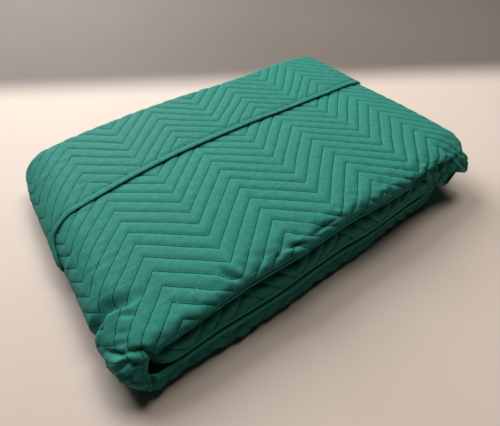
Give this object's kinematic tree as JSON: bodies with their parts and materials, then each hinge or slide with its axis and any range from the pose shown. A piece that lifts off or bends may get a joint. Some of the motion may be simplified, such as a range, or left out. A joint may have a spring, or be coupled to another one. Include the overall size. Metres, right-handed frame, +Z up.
{
  "type": "folded bedspread",
  "caption": "Quilted bedspread folded to a flat bundle: zigzag stitching, a hemmed flap on top, layered folds along the front and a rounded left end.",
  "frame": {"origin": "centre of the bundle's footprint, on the surface it lies on", "axes": "+X along the bundle's long side, from its rounded left end to its free folded end; +Y from the front to the back; +Z up"},
  "size_m": [0.608, 0.4252, 0.0895],
  "materials": {
    "quilted_cloth": "soft woven cloth with a slight sheen"
  },
  "bodies": {
    "root": {"quilted_cloth": "quilted_cloth"}
  },
  "joints": []
}
